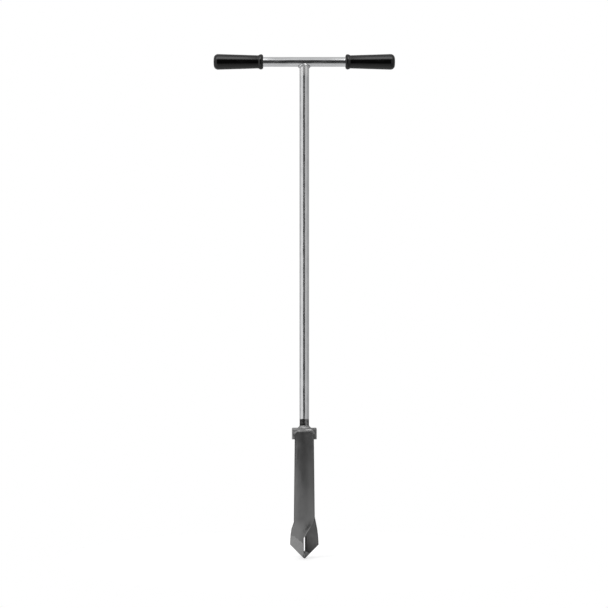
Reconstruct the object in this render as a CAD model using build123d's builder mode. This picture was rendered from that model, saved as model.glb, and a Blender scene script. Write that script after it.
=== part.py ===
from build123d import *
from math import pi, sin
import os

# Soil sampling auger: a one-piece hand auger with a T-handle and two opposed cutting blades.
# Millimetres. The origin is the cutting tip, +Z runs up the shaft and X runs along the cross bar.
# The front blade is on the -Y side, and the tool cuts turning clockwise seen from above.

# Tubes of the handle and the shaft
tube_diameter = 24.0
tube_wall = 2.0
shaft_length = 907.7  # top of the bridge to the axis of the cross bar
bare_band_height = 22.6  # zinc ground off the foot of the shaft before welding
bare_band_depth = 0.3
cope_drop = 6.5  # the coped horns of the shaft stop this far below the axis of the cross bar

# Push-on grips
handle_width = 450.0  # over the ends of both grips
grip_length = 123.0
grip_end_cover = 7.5  # thickness of the moulding over the tube, at the shoulder
grip_neck_cover = 4.1
grip_flange_cover = 6.8
grip_flange_width = 11.5
grip_flange_round = 5.0  # on the inner side of the flange
grip_end_crown = 1.5
grip_end_round = 9.0
grip_end_wall = 6.0

# Bridge, a U bent from flat bar
head_length = 323.4  # cutting tip to the top of the bridge
bridge_width = 61.4
bridge_depth = 36.0
bridge_height = 27.3
bridge_thickness = 5.0
bridge_inner_bend = 0.5
bridge_edge_chamfer = 1.8

# Blades
blade_thickness = 4.0
blade_lap = 17.9  # length of blade lying on the leg of the bridge
blade_lap_gap = 0.1
blade_top_width = 47.3
blade_low_width = 51.8  # at the top of the wing
blade_top_corner = 8.0
blade_edge_chamfer = 1.2  # on the strip's long edges
blade_bow = 5.0  # how far the middle of the strip stands out past its ends
blade_crown = 4.0  # fall of the strip's edges behind its middle line
blade_lap_crown = 0.5  # on the bridge, where the strip is nearly flat
blade_wing_crown = 0.3  # on the wing, which is nearly flat too
crown_run = 90.0  # height over which the crown grows, below the bridge

# Cutting wings
cutting_width = 70.8
point_height = 36.2  # cutting tip to the outer corners of the wings
wing_height = 100.0  # cutting tip to the top of the flare
flare_bend = (31.5, 75.0)  # from the axis and the tip: the straight flare bends towards the corner here
wing_corner = 1.5
trail_height = 104.0  # where the slanting rear edge leaves the strip
slant_bend = (18.0, 85.7)  # from the axis and the tip: the straight slant swings up to the strip here
slot_top = 51.0
slot_bottom = 18.1
slot_width = 3.4
bevel_width = 23.0
edge_land = 0.8

# Welds
handle_bead = 3.8  # radius of the bead round the T-joint
handle_bead_sink = 2.4  # how far its centre lies inside the tube at front and back
shaft_weld_height = 6.6
shaft_weld_side = 7.75  # how far the toe stands off the tube along the bridge
shaft_weld_front = 3.5  # and across it
shaft_weld_toe = 2.0  # how far the toe runs down over the bends of the bridge
shaft_weld_waist = 2.0  # how far the concave face stands off the shaft at mid height
blade_weld_leg = 5.5  # along the face of the bridge
blade_weld_throat = 4.0  # out from the face of the bridge
blade_weld_end = 1.5  # the bead starts and stops this far above the lower edge of the bridge
tip_weld_length = 20.0
tip_weld_depth = 10.0
tip_weld_round = 3.0
tip_weld_inset = 1.0  # how far the weld stays behind the cutting edges

# Places that follow from the sizes above
tube_radius = tube_diameter / 2
bare_radius = tube_radius - bare_band_depth
bar_height = head_length + shaft_length
shaft_top = bar_height - cope_drop
bar_length = handle_width - 2 * grip_end_wall
grip_flange_radius = tube_radius + grip_flange_cover
bridge_bottom = head_length - bridge_height
leg_face = bridge_depth / 2
blade_top = bridge_bottom + blade_lap
half_cut = cutting_width / 2
half_slot = slot_width / 2
half_strip = blade_low_width / 2
lap_depth = leg_face + blade_lap_gap + blade_thickness + blade_lap_crown

# Sections of the blade are drawn past its outline, which then trims them
section_reach = half_cut + blade_thickness
section_run_out = 4.0
wing_sections = 5
strip_sections = 6
lap_sections = 1


def ramp(share):
    """Smooth step from 0 to 1, level at both ends."""
    held = min(max(share, 0.0), 1.0)
    return held * held * (3 - 2 * held)


def bow(z):
    """Depth of the blade's outer face in front of the axis, on the blade's middle line."""
    half_thick = blade_thickness / 2
    if z <= wing_height:
        return half_thick + (lap_depth - half_thick) * sin(pi / 2 * z / wing_height)
    share = max((bridge_bottom - z) / (bridge_bottom - wing_height), 0.0)
    return lap_depth + blade_bow * sin(pi * share) ** 2


def crown(z):
    """Fall of the outer face behind the middle line, per square millimetre of distance from it."""
    wing_share = ramp((z - point_height) / (wing_height - point_height))
    lap_share = ramp((bridge_bottom - z) / crown_run)
    at_top = blade_lap_crown + (blade_crown - blade_lap_crown) * lap_share
    return (blade_wing_crown + (at_top - blade_wing_crown) * wing_share) / half_strip**2


def tuck(z):
    """Slope that draws the leading edge of the wing back to the axis, full at the wing's corner."""
    full = (bow(point_height) - crown(point_height) * half_cut**2 - blade_thickness / 2) / half_cut
    return full * (1 - ramp((z - point_height) / (wing_height - point_height)))


def outer_face(x, z):
    """Y of the front blade's outer face."""
    return -bow(z) + crown(z) * x * x - tuck(z) * x


def heights(start, end, count):
    """Evenly spaced section heights from start up to, but without, the end."""
    return [start + (end - start) * step / count for step in range(count)]


# Cross bar: a plain tube whose ends stop against the end walls of the grips
bar_plane = Plane(origin=(-bar_length / 2, 0, bar_height), x_dir=(0, 1, 0), z_dir=(1, 0, 0))
with BuildPart() as cross_bar:
    with BuildSketch(bar_plane):
        Circle(tube_radius)
        Circle(tube_radius - tube_wall, mode=Mode.SUBTRACT)
    extrude(amount=bar_length)

# Left grip: a tapered sleeve with a domed closed end and a round-topped flange on the inner side
grip_outer = -handle_width / 2
grip_inner = grip_outer + grip_length
grip_axis = Axis((0, 0, bar_height), (1, 0, 0))
grip_plane = Plane(origin=(0, 0, bar_height), x_dir=(1, 0, 0), z_dir=(0, -1, 0))
with BuildPart() as left_grip:
    with BuildSketch(grip_plane):
        with BuildLine():
            shoulder = (grip_outer + grip_end_crown, tube_radius + grip_end_cover)
            neck = (grip_inner - grip_flange_width, tube_radius + grip_neck_cover)
            flange_peak = (grip_inner - grip_flange_round, grip_flange_radius)
            flange_end = (grip_inner, grip_flange_radius - grip_flange_round)
            TangentArc((grip_outer, 0), shoulder, tangent=(0, 1))
            Line(shoulder, neck)
            TangentArc(flange_peak, neck, tangent=(-1, 0))
            TangentArc(flange_peak, flange_end, tangent=(1, 0))
            Polyline(
                flange_end,
                (grip_inner, tube_radius),
                (grip_outer + grip_end_wall, tube_radius),
                (grip_outer + grip_end_wall, 0),
                (grip_outer, 0),
            )
        grip_face = make_face()
        fillet(grip_face.vertices().sort_by(Axis.Y)[-1], grip_end_round)
    revolve(axis=grip_axis)

# Right grip: the same moulding on the other end of the bar
with BuildPart() as right_grip:
    mirror(left_grip.part, about=Plane.YZ)

# Shaft: a tube standing on the bridge, turned down at its foot and coped to the cross bar
with BuildPart() as shaft_tube:
    with BuildSketch(Plane.XZ):
        with BuildLine():
            Polyline(
                (tube_radius - tube_wall, head_length),
                (bare_radius, head_length),
                (bare_radius, head_length + bare_band_height),
                (tube_radius, head_length + bare_band_height),
                (tube_radius, shaft_top),
                (tube_radius - tube_wall, shaft_top),
                close=True,
            )
        make_face()
    revolve(axis=Axis.Z)
    with BuildSketch(bar_plane):
        Circle(tube_radius)
    extrude(amount=bar_length, mode=Mode.SUBTRACT)

# Weld round the T-joint: a bead along both halves of the saddle, with an inverted V at front and back
saddle = Vector(0, 0, shaft_top)
bead_centre = tube_radius - handle_bead_sink
with BuildPart() as handle_weld:
    for side in (-1, 1):
        with Locations((0, side * bead_centre, shaft_top)):
            Sphere(handle_bead)
        crotch = Vector(side * tube_radius, 0, bar_height - tube_radius)
        reach = crotch - saddle
        saddle_plane = Plane(origin=saddle, x_dir=(0, 1, 0), z_dir=Vector(0, 1, 0).cross(reach))
        with BuildLine(saddle_plane) as seam:
            EllipticalCenterArc((0, 0), bead_centre, reach.length, arc_size=180)
        with BuildSketch(Plane(origin=seam.line @ 0, z_dir=seam.line % 0)):
            Circle(handle_bead)
        sweep(path=seam.line)
    with BuildSketch(bar_plane):
        Circle(tube_radius)
    extrude(amount=bar_length, mode=Mode.SUBTRACT)
    with BuildSketch(Plane.XY.offset(head_length)):
        Circle(tube_radius)
    extrude(amount=shaft_top - head_length, mode=Mode.SUBTRACT)

# Bridge: flat bar with broken edges, bent into a U, its web under the shaft and its legs behind the blades
leg_line = leg_face - bridge_thickness / 2
web_line = head_length - bridge_thickness / 2
with BuildPart() as bridge:
    with BuildLine(Plane.YZ) as bridge_line:
        FilletPolyline(
            (-leg_line, bridge_bottom),
            (-leg_line, web_line),
            (leg_line, web_line),
            (leg_line, bridge_bottom),
            radius=bridge_inner_bend + bridge_thickness / 2,
        )
    with BuildSketch(Plane(origin=bridge_line.line @ 0, x_dir=(1, 0, 0), z_dir=bridge_line.line % 0)):
        flat_bar = Rectangle(bridge_width, bridge_thickness)
        chamfer(flat_bar.vertices(), bridge_edge_chamfer)
    sweep(path=bridge_line.line)

# Weld at the foot of the shaft: a concave fillet whose toe runs down over the bends of the bridge
weld_waist_height = head_length + shaft_weld_height / 2
with BuildPart() as shaft_weld:
    with BuildSketch(Plane.XY.offset(head_length - shaft_weld_toe)):
        Ellipse(tube_radius + shaft_weld_side, tube_radius + shaft_weld_front)
    with BuildSketch(Plane.XY.offset(weld_waist_height)):
        Circle(bare_radius + shaft_weld_waist)
    with BuildSketch(Plane.XY.offset(head_length + shaft_weld_height)):
        Circle(tube_radius)
    loft()
    with BuildSketch(Plane.XY.offset(head_length - shaft_weld_toe)):
        Circle(bare_radius)
    extrude(amount=shaft_weld_toe + shaft_weld_height, mode=Mode.SUBTRACT)
    add(bridge.part, mode=Mode.SUBTRACT)

# Outline of the front blade seen from the front: cutting edge, flared wing, strip and slanting rear edge
with BuildSketch(Plane.XZ) as blade_outline:
    with BuildLine():
        tip = (0, 0)
        corner = (-half_cut, point_height)
        flare = (-flare_bend[0], flare_bend[1])
        trail = (half_strip, trail_height)
        slot_corner = (-half_slot, slot_top)
        Line(tip, corner)
        TangentArc(corner, flare, tangent=(0, 1))
        Polyline(
            flare,
            (-half_strip, wing_height),
            (-blade_top_width / 2, blade_top),
            (blade_top_width / 2, blade_top),
            trail,
        )
        slant = Line(slot_corner, slant_bend)
        TangentArc(slant_bend, trail, tangent=slant % 1)
        Polyline(slot_corner, (-half_slot, slot_bottom), (0, slot_bottom), tip)
    outline_face = make_face()
    fillet(outline_face.vertices().group_by(Axis.Y)[-1], blade_top_corner)
    fillet(blade_outline.vertices().sort_by(Axis.X)[0], wing_corner)

# Front blade: a bowed, crowned strip that turns into a scooped wing, trimmed to its outline.
# Its ground bevel is flat: it starts on the cutting edge and runs out on the outer face.
blade_heights = (
    heights(-section_run_out, wing_height, wing_sections)
    + heights(wing_height, bridge_bottom, strip_sections)
    + heights(bridge_bottom, blade_top + section_run_out, lap_sections)
    + [blade_top + section_run_out]
)
edge_depth = blade_thickness - edge_land
edge_tip = Vector(0, outer_face(0, 0) + edge_depth, 0)
edge_corner = Vector(-half_cut, outer_face(-half_cut, point_height) + edge_depth, point_height)
edge_normal = Vector(point_height, 0, half_cut).normalized()
bevel_mark = Vector(-half_cut / 2, 0, point_height / 2) + edge_normal * bevel_width
bevel_end = Vector(bevel_mark.X, outer_face(bevel_mark.X, bevel_mark.Z), bevel_mark.Z)
bevel_plane = Plane(
    origin=edge_tip,
    x_dir=edge_corner - edge_tip,
    z_dir=(bevel_end - edge_tip).cross(edge_corner - edge_tip),
)
with BuildPart() as front_blade:
    for z in blade_heights:
        with BuildSketch(Plane.XY.offset(z)):
            with BuildLine():
                outer = [(x, outer_face(x, z)) for x in (-section_reach, 0, section_reach)]
                inner = [(x, y + blade_thickness) for x, y in outer]
                ThreePointArc(*outer)
                Line(outer[-1], inner[-1])
                ThreePointArc(*inner)
                Line(inner[0], outer[0])
            make_face()
    loft()
    extrude(blade_outline.sketch, amount=bridge_depth, both=True, mode=Mode.INTERSECT)
    split(bisect_by=bevel_plane, keep=Keep.BOTTOM)
    long_edges = front_blade.edges().sort_by(SortBy.LENGTH)[-4:]
    chamfer(long_edges, blade_edge_chamfer)

# Rear blade: the same blade, half a turn round the axis
with BuildPart() as rear_blade:
    add(front_blade.part, rotation=(0, 0, 180))

# Weld round the top end of the front blade, on the face of the bridge
half_top = blade_top_width / 2
bead_foot = bridge_bottom + blade_weld_end
with BuildPart() as front_blade_weld:
    with BuildLine(Plane.XZ.offset(leg_face)) as bead_line:
        FilletPolyline(
            (-half_top, bead_foot),
            (-half_top, blade_top),
            (half_top, blade_top),
            (half_top, bead_foot),
            radius=blade_top_corner,
        )
    with BuildSketch(Plane(origin=bead_line.line @ 0, x_dir=(1, 0, 0), z_dir=(0, 0, 1))):
        Ellipse(blade_weld_leg, blade_weld_throat)
    sweep(path=bead_line.line)
    add(bridge.part, mode=Mode.SUBTRACT)
    extrude(blade_outline.sketch, amount=bridge_depth, mode=Mode.SUBTRACT)

# Weld round the top end of the rear blade
with BuildPart() as rear_blade_weld:
    add(front_blade_weld.part, rotation=(0, 0, 180))

# Weld at the point: a rounded bead across the valley between the two blades, ground flush with both bevels
bead_end = tip_weld_length / 2
bead_shoulder = tip_weld_inset + bead_end * point_height / half_cut
with BuildPart() as tip_bead:
    with BuildSketch(Plane.XZ):
        with BuildLine():
            ThreePointArc((-bead_end, bead_shoulder), (0, slot_bottom), (bead_end, bead_shoulder))
            Polyline((bead_end, bead_shoulder), (0, tip_weld_inset), (-bead_end, bead_shoulder))
        make_face()
    extrude(amount=tip_weld_depth / 2, both=True)
    fillet(tip_bead.edges().filter_by(GeomType.CIRCLE), tip_weld_round)
    split(bisect_by=bevel_plane, keep=Keep.BOTTOM)

with BuildPart() as tip_weld:
    add(tip_bead.part)
    add(tip_bead.part, rotation=(0, 0, 180), mode=Mode.INTERSECT)
    add(front_blade.part, mode=Mode.SUBTRACT)
    add(rear_blade.part, mode=Mode.SUBTRACT)

# One file for each piece
pieces = {
    "cross_bar": cross_bar,
    "left_grip": left_grip,
    "right_grip": right_grip,
    "shaft_tube": shaft_tube,
    "handle_weld": handle_weld,
    "shaft_weld": shaft_weld,
    "bridge": bridge,
    "front_blade": front_blade,
    "rear_blade": rear_blade,
    "front_blade_weld": front_blade_weld,
    "rear_blade_weld": rear_blade_weld,
    "tip_weld": tip_weld,
}
os.makedirs("parts", exist_ok=True)
for name, piece in pieces.items():
    piece.part.label = name
    export_step(piece.part, f"parts/{name}.step")
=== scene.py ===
import bmesh
import bpy
import numpy as np
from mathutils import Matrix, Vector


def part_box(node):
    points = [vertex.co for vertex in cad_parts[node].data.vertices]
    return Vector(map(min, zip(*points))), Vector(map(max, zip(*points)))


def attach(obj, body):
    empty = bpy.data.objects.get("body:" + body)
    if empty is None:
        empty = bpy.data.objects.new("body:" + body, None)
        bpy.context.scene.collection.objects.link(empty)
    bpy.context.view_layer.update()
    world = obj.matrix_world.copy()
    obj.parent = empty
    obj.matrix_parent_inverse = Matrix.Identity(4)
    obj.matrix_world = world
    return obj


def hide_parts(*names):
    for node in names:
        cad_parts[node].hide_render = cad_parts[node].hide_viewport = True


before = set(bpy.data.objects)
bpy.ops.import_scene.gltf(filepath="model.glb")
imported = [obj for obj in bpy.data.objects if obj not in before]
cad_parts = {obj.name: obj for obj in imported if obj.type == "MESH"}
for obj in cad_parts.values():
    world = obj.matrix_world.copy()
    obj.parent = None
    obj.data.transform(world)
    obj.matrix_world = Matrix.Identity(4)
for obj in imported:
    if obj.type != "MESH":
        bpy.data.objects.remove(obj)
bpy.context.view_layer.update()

# Shaft: drawn steel tube under zinc plating, coped at the top to fit the cross bar.
# The plating is ground off the foot, and the weld below has burnt that bare band dark.
shaft_low, shaft_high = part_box("shaft_tube")
bar_low, bar_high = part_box("cross_bar")
shaft_radius = (shaft_high.x - shaft_low.x) / 2
bar_radius = (bar_high.z - bar_low.z) / 2
bar_axis = (bar_high.z + bar_low.z) / 2
tube_wall = 0.002
bare_height = 0.0226
bare_depth = 0.0003
foot_zone = 1.4 * bare_height  # modelled in finer rows
grind_step = 0.0008
grind_wave = 0.0005
grind_waves = ((3, 0.4, 1.0), (7, 2.0, 0.6))  # waves round the tube, phase, share of the height
shaft_ripple = 0.00004
shaft_ripple_size = (0.007, 0.007, 0.03)
shaft_sides = 96
foot_rows = 48
shaft_rows = 170
bore_rows = 24
field_waves = 24
field_pace = (0.6, 1.5)
merge_distance = 1e-7
crease_angle = np.radians(40)
burn_patch = 0.009
burn_level = 0.95
burn_mottle = 0.4
pale_spots = ((298, 0.15), (301, 0.55), (297, 1.0))  # degrees round the shaft, share of the bare band
pale_turn = np.radians(17)
pale_rise = 0.005
zinc_dull = (0.39, 0.394, 0.40)
zinc_bright = (0.49, 0.493, 0.498)
zinc_gloss = (0.16, 0.26)
zinc_blotch_share = 0.55
joint_zinc = 0.5
joint_roughness = 0.4
joint_zone = 0.036
joint_waver = 0.005
joint_patch = (0.012, 0.012, 0.03)
shaft_streak = (0.0015, 0.0015, 0.06)
shaft_blotch = (0.006, 0.006, 0.02)
fleck_size = (0.003, 0.003, 0.0025)
burnt_black = (0.008, 0.05)
burnt_grey = (0.13, 0.26)
burnt_roughness = 0.5
shaft_bump = 0.00001


def circle(sides):
    """Angles at even steps round a full turn."""
    return np.linspace(0, 2 * np.pi, sides, endpoint=False)


def between(share, low, high):
    """Value that goes from low to high as the share goes from 0 to 1."""
    return low + (high - low) * share


def ramp(value, zero, one):
    """Smooth step: 0 where the value is at zero or before it, 1 at one or past it, level at both
    ends. It falls where one is the lower of the two."""
    share = np.clip((value - zero) / (one - zero), 0.0, 1.0)
    return share * share * (3 - 2 * share)


def bell(offset, width):
    """Bell curve: 1 in the middle, and 1/e at one width from it."""
    return np.exp(-((offset / width) ** 2))


def points_at(*coordinates):
    """Points with these coordinates, each spread to the shape that they share."""
    return np.stack(np.broadcast_arrays(*coordinates), axis=-1)


def unevenness(points, wavelength, seed):
    """Smooth random field, mostly between -1 and 1: a sum of plane waves of about this wavelength
    in random directions and phases. Three wavelengths stretch the field along the axes."""
    draw = np.random.default_rng(seed)
    direction = draw.normal(size=(field_waves, 3))
    direction /= np.linalg.norm(direction, axis=1, keepdims=True)
    pace = 2 * np.pi * draw.uniform(*field_pace, (field_waves, 1)) * direction / np.asarray(wavelength)
    phase = draw.uniform(0, 2 * np.pi, field_waves)
    return np.cos(points @ pace.T + phase).sum(axis=-1) / np.sqrt(2 * field_waves)


def grid_piece(name, points, material, ring=False, **masks):
    """Mesh over a rows x columns x 3 array of points, whose columns close into loops: one quad for
    each cell. In a ring the last row joins the first. Otherwise each end loop is closed by a ladder
    of quads between its two halves. The faces are turned so that the volume inside is positive, and
    each mask is kept as an attribute of the points."""
    rows, columns = points.shape[:2]
    index = np.arange(rows * columns).reshape(rows, columns)
    low, high = (index, np.roll(index, -1, axis=0)) if ring else (index[:-1], index[1:])
    cells = np.stack([low, np.roll(low, -1, axis=1), np.roll(high, -1, axis=1), high], axis=-1)
    quads = [cells.reshape(-1, 4)]
    half = columns // 2
    for loop in () if ring else (index[0][::-1], index[-1]):
        one, other = loop[:half], loop[::-1][:half]
        quads.append(np.stack([one[:-1], one[1:], other[1:], other[:-1]], axis=-1))
    mesh = bpy.data.meshes.new(name)
    mesh.from_pydata(points.reshape(-1, 3), [], np.concatenate(quads))
    for label, values in masks.items():
        spread = np.broadcast_to(values, (rows, columns)).astype(np.float32)
        mesh.attributes.new(label, "FLOAT", "POINT").data.foreach_set("value", spread.ravel())
    work = bmesh.new()
    work.from_mesh(mesh)
    bmesh.ops.remove_doubles(work, verts=work.verts, dist=merge_distance)
    bmesh.ops.recalc_face_normals(work, faces=work.faces)
    if work.calc_volume(signed=True) < 0:
        bmesh.ops.reverse_faces(work, faces=work.faces)
    work.to_mesh(mesh)
    work.free()
    mesh.shade_smooth()
    mesh.set_sharp_from_angle(angle=crease_angle)
    mesh.materials.append(material)
    piece = bpy.data.objects.new(name, mesh)
    bpy.context.scene.collection.objects.link(piece)
    return piece


def node(tree, kind, inputs=(), **settings):
    """A shader node of that kind. Inputs maps a socket's name or number to a value or to the socket
    that feeds it."""
    made = tree.nodes.new("ShaderNode" + kind)
    for key, value in settings.items():
        setattr(made, key, value)
    for socket, value in dict(inputs).items():
        if isinstance(value, bpy.types.NodeSocket):
            tree.links.new(value, made.inputs[socket])
        else:
            made.inputs[socket].default_value = value
    return made


def grain_group():
    """Node group of one effect: noise over the piece, with features of the given size along each
    axis, turned by the given angles and spread from 0 to 1 between the Low and High levels."""
    group = bpy.data.node_groups.new("grain", "ShaderNodeTree")
    for name in ("Size", "Turn"):
        group.interface.new_socket(name, in_out="INPUT", socket_type="NodeSocketVector")
    for name in ("Detail", "Low", "High"):
        group.interface.new_socket(name, in_out="INPUT", socket_type="NodeSocketFloat")
    group.interface.new_socket("Amount", in_out="OUTPUT", socket_type="NodeSocketFloat")
    start = group.nodes.new("NodeGroupInput").outputs
    end = group.nodes.new("NodeGroupOutput").inputs
    place = node(group, "TexCoord").outputs["Object"]
    turned = {"Vector": place, "Rotation": start["Turn"], "Scale": start["Size"]}
    placed = node(group, "Mapping", turned, vector_type="TEXTURE").outputs["Vector"]
    pattern = {"Vector": placed, "Scale": 1.0, "Detail": start["Detail"]}
    noise = node(group, "TexNoise", pattern).outputs["Fac"]
    levels = {"Value": noise, "From Min": start["Low"], "From Max": start["High"]}
    group.links.new(node(group, "MapRange", levels).outputs["Result"], end["Amount"])
    return group


grain_nodes = grain_group()


def grain(tree, size, turn=(0.0, 0.0, 0.0), detail=3.0, low=0.35, high=0.65):
    """The grain effect placed in a material with its own values."""
    values = {"Size": size, "Turn": turn, "Detail": detail, "Low": low, "High": high}
    return node(tree, "Group", values, node_tree=grain_nodes).outputs["Amount"]


def tint(tree, share, low, high):
    """Colour between low and high, each a grey value, an RGB triple or a socket, by a share."""
    ends = {0: share}
    for socket, colour in ((6, low), (7, high)):
        if isinstance(colour, float):
            colour = (colour, colour, colour)
        ends[socket] = (*colour, 1.0) if isinstance(colour, tuple) else colour
    return node(tree, "Mix", ends, data_type="RGBA").outputs[2]


def level(tree, share, low, high):
    """Value between low and high by a share."""
    return node(tree, "Mix", {0: share, 2: low, 3: high}).outputs[0]


def mask(tree, name):
    """A mask that the mesh holds at its points."""
    return node(tree, "Attribute", attribute_name=name).outputs["Fac"]


def finish(name, metallic):
    """A new material with its node tree and its shader."""
    made = bpy.data.materials.new(name)
    made.use_nodes = True
    shader = made.node_tree.nodes["Principled BSDF"]
    shader.inputs["Metallic"].default_value = metallic
    return made, made.node_tree, shader


def dress(tree, shader, colour, roughness, height, bump):
    """Joins colour and roughness to the shader, and height through a bump of that many metres."""
    tree.links.new(colour, shader.inputs["Base Color"])
    tree.links.new(roughness, shader.inputs["Roughness"])
    relief = {"Height": height, "Distance": bump, "Strength": 1.0}
    tree.links.new(node(tree, "Bump", relief).outputs["Normal"], shader.inputs["Normal"])


def zinc(tree, streak, blotch):
    """Colour, roughness and height of zinc on drawn tube: fine streaks along it and dull blotches."""
    streaks = grain(tree, streak, detail=4.0)
    blotches = grain(tree, blotch, detail=2.0)
    mottle = level(tree, zinc_blotch_share, streaks, blotches)
    return tint(tree, mottle, zinc_dull, zinc_bright), level(tree, blotches, *zinc_gloss), mottle


def shaft_finish():
    """Zinc, dulled by the heat of the T-joint, with the bare foot burnt to mottled black and grey."""
    made, tree, shader = finish("zinc_shaft", metallic=1.0)
    colour, roughness, height = zinc(tree, shaft_streak, shaft_blotch)
    dull = mask(tree, "dull")
    colour = tint(tree, dull, colour, joint_zinc)
    roughness = level(tree, dull, roughness, joint_roughness)
    bare = mask(tree, "bare")
    flecks = grain(tree, fleck_size, detail=4.0)
    grey = tint(tree, flecks, *burnt_grey)
    black = tint(tree, flecks, *burnt_black)
    colour = tint(tree, bare, colour, tint(tree, mask(tree, "burn"), grey, black))
    roughness = level(tree, bare, roughness, burnt_roughness)
    dress(tree, shader, colour, roughness, level(tree, bare, height, flecks), shaft_bump)
    return made


def saddle(turn, radius):
    """Height of the coped top edge: the under side of the cross bar, cut off at the horns."""
    reach = radius * np.sin(turn)
    return np.minimum(bar_axis - np.sqrt(np.maximum(bar_radius**2 - reach**2, 0.0)), shaft_high.z)


def around_axis(turn, radius, height):
    """Points round the shaft's axis at these angles, radii and heights."""
    return points_at(radius * np.cos(turn), radius * np.sin(turn), height)


def shaft_surface():
    """Tube wall: an outer skin going up and the bore coming down, both to the saddle. The bare foot is
    cut back below a hand-ground line, a sum of sines, and the radius is drawn a little uneven. The
    masks are bare below that line, burn, which is noise with round pale spots, and dull, which grows
    up to the joint from a wavering edge."""
    turn = circle(shaft_sides)
    foot_share = foot_zone / (shaft_high.z - shaft_low.z)
    foot_shares = np.linspace(0, foot_share, foot_rows, endpoint=False)
    shares = np.concatenate([foot_shares, np.linspace(foot_share, 1, shaft_rows)])[:, None]
    outer = between(shares, shaft_low.z, saddle(turn, shaft_radius))
    waver = sum(share * np.sin(waves * turn + phase) for waves, phase, share in grind_waves)
    ground_line = shaft_low.z + bare_height + grind_wave * waver
    bare = ramp(outer, ground_line + grind_step / 2, ground_line - grind_step / 2)
    skin = around_axis(turn, shaft_radius, outer)
    pale = 0.0
    for degrees, share in pale_spots:
        up = outer - shaft_low.z - share * bare_height
        pale = pale + bell(turn - np.radians(degrees), pale_turn) * bell(up, pale_rise)
    burn = np.clip(burn_level + burn_mottle * unevenness(skin, burn_patch, seed=12) - pale, 0, 1)
    rough = shaft_ripple * unevenness(skin, shaft_ripple_size, seed=1) - bare_depth * bare
    skin[..., :2] *= (1 + (rough - shaft_ripple) / shaft_radius)[..., None]
    joint_edge = shaft_high.z + joint_waver * unevenness(skin, joint_patch, seed=15)
    dull = ramp(outer, joint_edge - joint_zone, joint_edge - joint_zone / 2)
    bore_radius = shaft_radius - tube_wall
    bore_shares = np.linspace(1, 0, bore_rows)[:, None]
    bore = around_axis(turn, bore_radius, between(bore_shares, shaft_low.z, saddle(turn, bore_radius)))
    inside = np.zeros(bore.shape[:2])
    masks = {"bare": bare, "burn": burn, "dull": dull}
    masks = {name: np.concatenate([values, inside]) for name, values in masks.items()}
    return np.concatenate([skin, bore]), masks


shaft_points, shaft_masks = shaft_surface()
shaft = grid_piece("shaft", shaft_points, shaft_finish(), ring=True, **shaft_masks)
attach(shaft, "root")
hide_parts("shaft_tube")

# Cross bar: the same zinc-plated steel tube, welded across the top of the shaft.
# Its sawn ends are hidden inside the grips.
bar_sides = 96
bar_rows = 120
bar_ripple = 0.000015
bar_ripple_size = (0.05, 0.008, 0.008)
bar_streak = (0.06, 0.0015, 0.0015)
bar_blotch = (0.03, 0.006, 0.006)
bar_bump = 0.000003


def bar_surface():
    """Tube along X: an outer skin going one way and the bore coming back, with a little unevenness."""
    turn = circle(bar_sides)
    x = np.linspace(bar_low.x, bar_high.x, bar_rows)[:, None]
    skin = points_at(x, bar_radius * np.cos(turn), bar_radius * np.sin(turn))
    rough = bar_ripple * (unevenness(skin, bar_ripple_size, seed=2) - 1)
    skin[..., 1:] *= (1 + rough / bar_radius)[..., None]
    share = (bar_radius - tube_wall) / bar_radius
    bore = skin[::-1] * (1, share, share)
    return np.concatenate([skin, bore]) + (0, 0, bar_axis)


def bar_finish():
    """Zinc with its streaks lying along the bar."""
    made, tree, shader = finish("zinc_bar", metallic=1.0)
    colour, roughness, height = zinc(tree, bar_streak, bar_blotch)
    dress(tree, shader, colour, roughness, height, bar_bump)
    return made


bar = grid_piece("bar", bar_surface(), bar_finish(), ring=True)
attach(bar, "root")
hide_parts("cross_bar")

# Weld at the T-joint: one bead laid round the coped end of the shaft before plating.
# It is thick in the crotches, thin at the front and the back, and was plated with the tubes.
crotch_bead_radius = 0.0038
saddle_bead_radius = 0.0029
handle_bead_sink = 0.0016
handle_bead_ripples = 34
handle_bead_rows = 340
bead_sides = 28
ripple_height = 0.07
ripple_bow = 0.45
ripple_wander = 0.25
wander_run = 4  # half widths of the bead
wander_seed = 100
lump_height = 0.12
lump_run = 3  # half widths of the bead
toe_from = 0.5  # cosine of the angle round the bead
full_turn = np.radians(222)
full_spread = 0.4
full_swell = 0.0014
toe_dark = 0.03
toe_share = 0.55
upper_toe = (0.3125, 0.9375)  # the same cosine where it starts and where it is full
lower_toe = 0.4
toe_turn = np.radians(118)
toe_spread = 0.45
# Glint: a painted highlight, zinc made near white at the front top of the seam
glint_turn = np.radians(170)
glint_spread = 0.15
painted_glint = 0.75
zinc_valley = 0.25
handle_bead_grain = (0.003, 0.003, 0.003)
handle_bead_blotch = (0.006, 0.006, 0.006)
handle_bead_bump = 0.00006


def dips(phase):
    """One narrow dip in every turn of the phase, with a depth of 0 to 1: a raised cosine to the fourth
    power."""
    return (0.5 + 0.5 * np.cos(phase)) ** 4


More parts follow.
